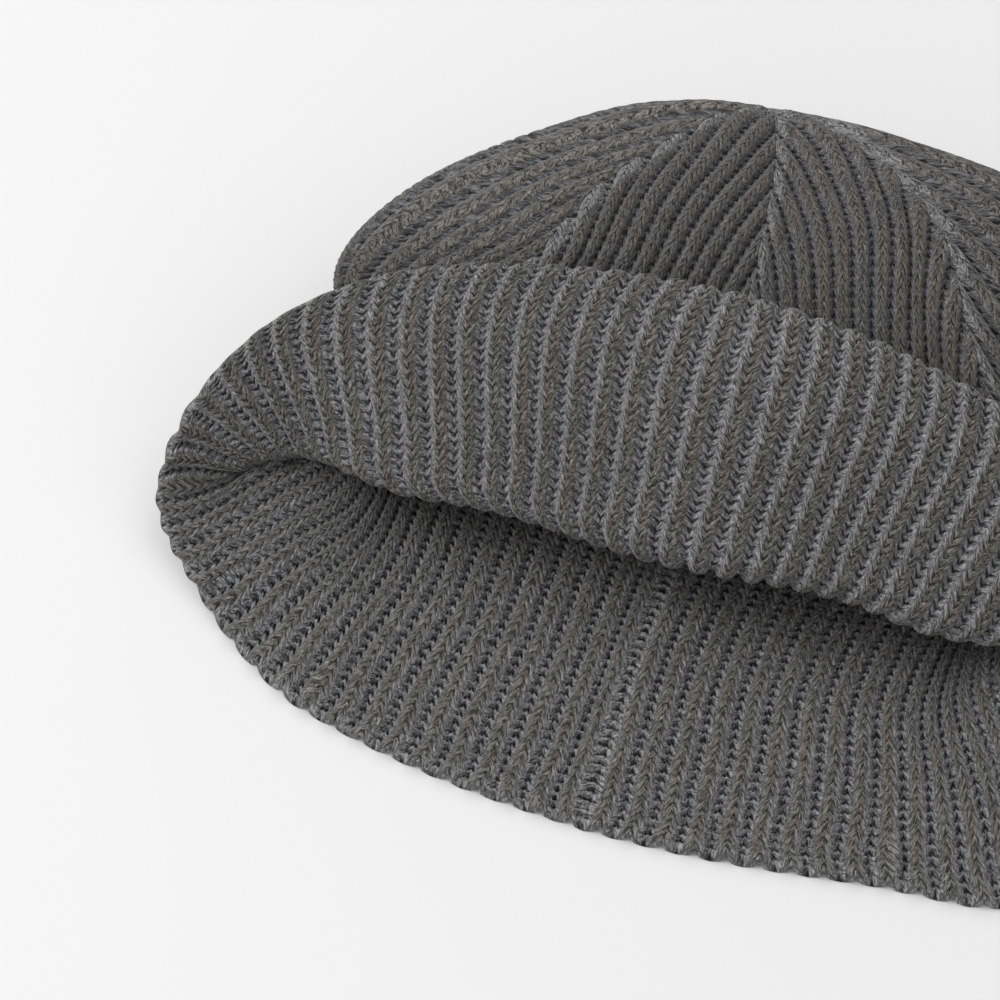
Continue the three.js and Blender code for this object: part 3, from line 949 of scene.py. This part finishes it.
@dataclass(frozen=True)
class YarnFinish:
    """The marled yarn: its colours, in linear light, how its strands and fibres catch the light, and the
    shade painted into its holes and along one side of each wale.
    """

    name: str
    wale: tuple[float, float, float] = (0.137, 0.125, 0.111)
    groove: tuple[float, float, float] = (0.200, 0.202, 0.210)
    # Near-black painted shade for the holes between strands, standing in for the shade that falls into them.
    hole_shade: tuple[float, float, float] = (0.012, 0.012, 0.013)
    edge: tuple[float, float, float] = (0.205, 0.205, 0.205)
    roughness: float = 0.95
    specular: float = 0.15
    sheen: float = 0.2
    wander: float = 0.55
    shake: float = 0.16
    fibre_contrast: float = 6.5
    marl_contrast: float = 2.0
    stray_contrast: float = 1.6
    least_tone: float = 0.2
    # Painted shade along each wale's right side, where it drops into the groove: its strength and width.
    groove_edge_shade: float = 0.3
    groove_edge_shade_width: float = 0.05
    # How far the painted shade in holes and along the wales goes towards the near-black.
    painted_shade_share: float = 0.92
    rim: tuple[float, float] = (0.6, 1.7)
    rim_groove: float = 0.8
    rim_wale: float = 0.6
    pale_edge: tuple[float, float] = (-0.17, -0.09)
    pale_leg: float = 0.7
    marl_grey: float = 1.8
    stray_grey: float = 0.8
    seam: Seam = Seam.BACK
    seam_light: float = 0.2
    seam_edge: float = 0.6
    back_band: tuple[float, float] = (0.18, 0.27)
    dart_band: tuple[float, float] = (0.5, 0.65)
    dart_start: tuple[float, float] = (0.96, 1.0)
    # How often each unevenness repeats, across and along.
    wander_grain: tuple[float, float] = (1.3, 0.8)
    shake_grain: tuple[float, float] = (2.1, 1.4)
    marl_grain: tuple[float, float] = (2.2, 4.0)
    hole_grain: tuple[float, float] = (2.5, 1.5)
    hole_step: tuple[float, float] = (0.25, 0.55)
    fibre_grain: tuple[float, float, float] = (6.5, 11.0, 0.4)
    stray_grain: tuple[float, float, float] = (26.0, 2.0, 1.7)
    # How far each thing stands out, in the bump's own depth.
    bump: float = 0.8
    bump_depth: float = 0.4 * MM
    strand_bump: float = 0.8
    wale_flatness: float = 0.45
    hole_bump: float = 1.2
    fibre_bump: float = 1.6
    stray_bump: float = 0.5
    stitch: Stitch = Stitch()

    def material(self) -> bpy.types.Material:
        """Builds the material.

        Returns:
            The material.
        """
        material = bpy.data.materials.new(self.name)
        material.use_nodes = True
        tree = material.node_tree
        tree.nodes.clear()
        nodes = Nodes(tree)
        uv = nodes.add("ShaderNodeUVMap", {"uv_map": "knit"})
        split = nodes.add("ShaderNodeSeparateXYZ", None, {0: uv.outputs[0]})
        ribs, stitches = nodes.signal(split, 0), nodes.signal(split, 1)
        wander = self._uneven(nodes, ribs, stitches, self.wander_grain, Layer.WANDER) - 0.5
        shake = self._uneven(nodes, ribs, stitches, self.shake_grain, Layer.SHAKE) - 0.5
        parts = self.stitch.read(ribs + shake * self.shake, stitches + wander * self.wander)
        turn, across, along = self.fibre_grain
        fibre = self._noise(nodes, (parts["turn"] * turn, ribs * across, stitches * along), 3.0) - 0.5
        across, slant, along = self.stray_grain
        place = (ribs * across + stitches * slant, stitches * along, Layer.STRAY.value)
        stray = self._noise(nodes, place, 2.0) - 0.5
        marl = self._uneven(nodes, parts["turn"], ribs, self.marl_grain, Layer.MARL) - 0.5
        uneven = self._uneven(nodes, ribs, stitches, self.hole_grain, Layer.HOLE)
        hole = parts["hole"] * uneven.smooth(*self.hole_step)
        strand = parts["strand"] * (self.strand_bump - parts["wale"] * self.wale_flatness)
        relief = strand - hole * self.hole_bump + fibre * self.fibre_bump + stray * self.stray_bump
        bump = nodes.add("ShaderNodeBump", None,
                         {"Strength": self.bump, "Distance": self.bump_depth, "Height": relief})
        greyed = (marl * self.marl_grey + stray * self.stray_grey).most(0.0)
        band = self._seam_band(ribs, stitches)
        yarn = self._yarn(nodes, ribs, stitches, parts["wale"], band, greyed)
        tone = fibre * self.fibre_contrast + marl * self.marl_contrast + stray * self.stray_contrast + 1.0
        tone = tone.most(self.least_tone) * (band * self.seam_light + 1.0)
        lit = nodes.add("ShaderNodeVectorMath", {"operation": "SCALE"}, {0: yarn, "Scale": tone})
        side = ribs - ribs.round()
        # A thin line of painted shade along each wale's right side, where it drops into the groove.
        shade_line = 1 - abs(side - self.stitch.wale_half).smooth(0.0, self.groove_edge_shade_width)
        # Painted shade: the holes and the line along each wale's right side are mixed towards near-black,
        # for the shade in these recesses.
        painted_shade = hole.most(shade_line * self.groove_edge_shade).least(1.0)
        color = nodes.mix_color(painted_shade * self.painted_shade_share, lit.outputs[0], (*self.hole_shade, 1))
        shader = nodes.add("ShaderNodeBsdfPrincipled", None,
                           {"Base Color": color, "Roughness": self.roughness,
                            "Specular IOR Level": self.specular, "Sheen Weight": self.sheen,
                            "Normal": bump.outputs[0]})
        nodes.add("ShaderNodeOutputMaterial", None, {0: shader.outputs[0]})
        return material

    def _yarn(self, nodes: Nodes, ribs: Signal, stitches: Signal, wale: Signal, band: Signal,
              greyed: Signal) -> bpy.types.NodeSocket:
        """The yarn's own colour: brown on a wale, grey in a groove, pale at the free edge and a seam.

        Args:
            nodes: the material's nodes.
            ribs: place across, whole in the middle of a wale.
            stitches: place along, in stitches from the free edge.
            wale: 1 on a wale, 0 in a groove.
            band: 1 on the strands beside a seam.
            greyed: how much of the wale's brown the marl takes away.

        Returns:
            The colour's socket.
        """
        side = ribs - ribs.round()
        pale = (1 - side.smooth(*self.pale_edge)) * self.pale_leg
        brown = (wale * (1 - pale.most(band)) - greyed).most(0.0)
        yarn = nodes.mix_color(brown, (*self.groove, 1), (*self.wale, 1))
        rim = 1 - stitches.smooth(*self.rim)
        edge = (rim * (self.rim_groove - wale * self.rim_wale)).most(band * self.seam_edge)
        return nodes.mix_color(edge, yarn, (*self.edge, 1))

    def _seam_band(self, ribs: Signal, stitches: Signal) -> Signal:
        """Where the pale strands beside a seam show, from 0 to 1.

        Args:
            ribs: place across, whole in the middle of a wale.
            stitches: place along, in stitches from the free edge.

        Returns:
            The band, along the back seam or on one side of each dart.
        """
        if self.seam is Seam.BACK:
            from_seam = abs((ribs + (RIBS / 2 - 0.5)).wrap(RIBS) - RIBS / 2)
            return 1 - from_seam.smooth(*self.back_band)
        gore = RIBS / GORES
        left = (APEX_COURSE - stitches * STITCH_COURSE) / (APEX_COURSE - DART_COURSE)
        from_dart = ribs.wrap(gore) - gore / 2 + left * (gore / 2)
        return (1 - from_dart.smooth(*self.dart_band)) * (1 - left.smooth(*self.dart_start))

    def _uneven(self, nodes: Nodes, a: Signal, b: Signal, grain: tuple[float, float],
                layer: Layer) -> Signal:
        """One slow unevenness of the yarn.

        Args:
            nodes: the material's nodes.
            a, b: the place it varies with.
            grain: how often it repeats along each.
            layer: which unevenness.

        Returns:
            The noise, about 0.5 on the whole.
        """
        return self._noise(nodes, (a * grain[0], b * grain[1], layer.value), 1.0)

    @staticmethod
    def _noise(nodes: Nodes, place: tuple[Number, Number, Number], detail: float) -> Signal:
        """Fractal noise at a place.

        Args:
            nodes: the material's nodes.
            place: three coordinates, as signals or numbers.
            detail: octaves.

        Returns:
            The noise, about 0.5 on the whole.
        """
        vector = nodes.add("ShaderNodeCombineXYZ", None, dict(enumerate(place)))
        noise = nodes.add("ShaderNodeTexNoise", {"noise_dimensions": "3D"},
                          {"Vector": vector.outputs[0], "Scale": 1.0, "Detail": detail, "Roughness": 0.6})
        return nodes.signal(noise, 0)


@dataclass
class Cuff:
    """The knitted cuff: four panels between the back seam, the sides and the front's middle."""

    names: tuple[str, ...] = ("cuff_back_left", "cuff_front_left", "cuff_front_right", "cuff_back_right")
    show_columns: int = 10
    show_rows: int = 7
    plain_columns: int = 6
    plain_rows: int = 3
    rim: float = 1.5
    rim_rows: int = 4

    def panels(self) -> list[Panel]:
        """Lays out the four panels.

        Returns:
            The panels, from the back seam by the left side.
        """
        return [Panel(name, "cuff", "cuff_knit",
                      self._face(Face.OUTER, quarter, self.plain_columns, self.plain_rows),
                      self._face(Face.INNER, quarter, self.show_columns, self.show_rows))
                for quarter, name in enumerate(self.names)]

    def _face(self, face: Face, quarter: int, columns: int, rows: int) -> Weave:
        """One face of one panel, with rows that round off its free edge.

        Args:
            face: which face.
            quarter: which quarter, from the back seam by the left side.
            columns: points to a rib.
            rows: rows to a stitch.

        Returns:
            The face's rows.
        """
        weave = Weave(face)
        ribs = np.linspace(quarter, quarter + 1, RIBS // GORES * columns + 1) * RIBS / GORES
        for step in range(self.rim_rows, 0, -1):
            angle = step / (self.rim_rows + 0.5) * math.pi / 2
            weave.row(ribs / RIBS, -self.rim * math.sin(angle), ribs, math.cos(angle))
        count = round(JOIN_COURSE / STITCH_COURSE * rows)
        for row in range(count + 1):
            weave.row(ribs / RIBS, JOIN_COURSE * row / count, ribs)
        return weave


@dataclass
class Crown:
    """The knitted crown: four gores whose ribs run out at the darts between them."""

    names: tuple[str, ...] = ("crown_back_left", "crown_front_left", "crown_front_right", "crown_back_right")
    show_columns: int = 10
    show_rows: int = 7
    plain_columns: int = 3
    plain_rows: int = 1
    dart_clear: float = 0.25

    def panels(self) -> list[Panel]:
        """Lays out the four gores.

        Returns:
            The panels, from the back dart by the left side.
        """
        return [Panel(name, "crown", "crown_knit",
                      self._face(Face.OUTER, gore, self.show_columns, self.show_rows),
                      self._face(Face.INNER, gore, self.plain_columns, self.plain_rows))
                for gore, name in enumerate(self.names)]

    def _face(self, face: Face, gore: int, columns: int, rows: int) -> Weave:
        """One face of one gore, with fewer points in each row once the darts begin.

        Args:
            face: which face.
            gore: which gore, from the back dart by the left side.
            columns: points to a rib.
            rows: rows to a stitch.

        Returns:
            The face's rows.
        """
        weave = Weave(face)
        centre = (gore + 0.5) * RIBS / GORES
        half = RIBS / GORES / 2
        count = round((APEX_COURSE - JOIN_COURSE) / STITCH_COURSE * rows)
        for row in range(count + 1):
            course = JOIN_COURSE + (APEX_COURSE - JOIN_COURSE) * row / count
            left = min(1.0, (APEX_COURSE - course) / (APEX_COURSE - DART_COURSE))
            reach = half * left
            inside = math.floor(reach * columns - self.dart_clear)
            ribs = np.arange(-inside, inside + 1) / columns
            ribs = np.concatenate([[-reach], ribs, [reach]]) if reach > 0 else np.zeros(1)
            share = ribs / left if left > 0 else ribs
            weave.row(crown_turns((centre + share) / RIBS, course), course, centre + ribs)
        return weave


@dataclass
class Beanie:
    """The whole hat: its fabric, its two parts' knit and yarn, and their panels."""

    fabric: Fabric = field(default_factory=Fabric)
    cuff: Cuff = field(default_factory=Cuff)
    crown: Crown = field(default_factory=Crown)
    cuff_stitch: Stitch = Stitch()
    crown_stitch: Stitch = Stitch(wale_half=0.32, wale_slant=1.5, groove_slant=0.55, groove_hole=1.3)

    def finishes(self) -> dict[str, YarnFinish]:
        """Names each part's yarn.

        Returns:
            The finishes by node.
        """
        return {"cuff": YarnFinish("cuff yarn", stitch=self.cuff_stitch),
                "crown": YarnFinish("crown yarn", stitch=self.crown_stitch, seam=Seam.DARTS, pale_leg=0.25,
                                    wale=(0.136, 0.124, 0.111), groove=(0.116, 0.116, 0.123))}

    def build(self) -> list[bpy.types.Object]:
        """Builds and dresses every panel.

        Returns:
            The panels.
        """
        knits = {"cuff": KnitRelief("cuff knit", stitch=self.cuff_stitch),
                 "crown": KnitRelief("crown knit", stitch=self.crown_stitch)}
        trees = {node: knit.tree() for node, knit in knits.items()}
        materials = {node: finish.material() for node, finish in self.finishes().items()}
        pieces = []
        for panel in self.cuff.panels() + self.crown.panels():
            piece = panel.build(self.fabric)
            knits[panel.node].raise_on(piece, trees[panel.node], materials[panel.node])
            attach(piece, BODY)
            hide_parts(panel.node)
            LOG.info("%s: %d triangles", piece.name, len(piece.data.polygons))
            pieces.append(piece)
        return pieces


@dataclass(frozen=True)
class Lamp:
    """One square soft light that faces the hat: its place and size in metres, its power in watts."""

    name: str
    place: tuple[float, float, float]
    size: float
    power: float

    def build(self) -> None:
        """Adds the light."""
        data = bpy.data.lights.new(self.name, "AREA")
        data.shape = "SQUARE"
        data.size = self.size
        data.energy = self.power
        light = bpy.data.objects.new(self.name, data)
        light.location = self.place
        light.rotation_euler = (-Vector(self.place)).to_track_quat("-Z", "Y").to_euler()
        bpy.context.scene.collection.objects.link(light)


@dataclass(frozen=True)
class Studio:
    """Pale floor, soft lights and the camera, in metres."""

    camera_at: tuple[float, float, float] = (0.1180, -0.5421, 0.8889)
    camera_along: tuple[float, float, float] = (-0.1549, 0.5068, -0.848)
    lens: float = 157.0
    sensor: float = 36.0
    near: float = 0.01
    lamps: tuple[Lamp, ...] = (Lamp("key", (-1.0, -0.3, 1.3), 0.8, 14.0),
                               Lamp("fill", (0.35, 0.55, 1.6), 1.4, 4.5))
    sky: float = 0.56
    floor_size: float = 6.0
    floor_drop: float = 0.2 * MM
    floor_tone: float = 0.85

    def build(self) -> None:
        """Adds everything that is not the hat."""
        self._floor()
        self._world()
        for lamp in self.lamps:
            lamp.build()
        self._camera()

    def _camera(self) -> None:
        """The camera at the photograph's angle."""
        data = bpy.data.cameras.new("camera")
        data.lens = self.lens
        data.sensor_width = self.sensor
        data.clip_start = self.near
        camera = bpy.data.objects.new("camera", data)
        camera.location = self.camera_at
        camera.rotation_euler = Vector(self.camera_along).to_track_quat("-Z", "Y").to_euler()
        bpy.context.scene.collection.objects.link(camera)
        bpy.context.scene.camera = camera

    def _world(self) -> None:
        """Even light from all round."""
        world = bpy.data.worlds.new("studio")
        world.use_nodes = True
        background = world.node_tree.nodes["Background"]
        background.inputs["Color"].default_value = (1.0, 1.0, 1.0, 1.0)
        background.inputs["Strength"].default_value = self.sky
        bpy.context.scene.world = world
        bpy.context.scene.view_settings.view_transform = "Standard"

    def _floor(self) -> None:
        """The pale floor."""
        half = self.floor_size / 2
        mesh = bpy.data.meshes.new("floor")
        mesh.from_pydata([(-half, -half, 0), (half, -half, 0), (half, half, 0), (-half, half, 0)], [],
                         [(0, 1, 2, 3)])
        floor = bpy.data.objects.new("floor", mesh)
        floor.location = (0, 0, -self.floor_drop)
        material = bpy.data.materials.new("floor")
        material.use_nodes = True
        shader = material.node_tree.nodes["Principled BSDF"]
        shader.inputs["Base Color"].default_value = (*[self.floor_tone] * 3, 1)
        shader.inputs["Roughness"].default_value = 1.0
        shader.inputs["Specular IOR Level"].default_value = 0.0
        mesh.materials.append(material)
        bpy.context.scene.collection.objects.link(floor)


def main() -> None:
    """Builds the studio and the hat, and reports each piece."""
    logging.basicConfig(level=logging.INFO, format="%(name)s %(message)s")
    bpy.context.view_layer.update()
    Studio().build()
    Beanie().build()


if __name__ == "__main__":
    main()
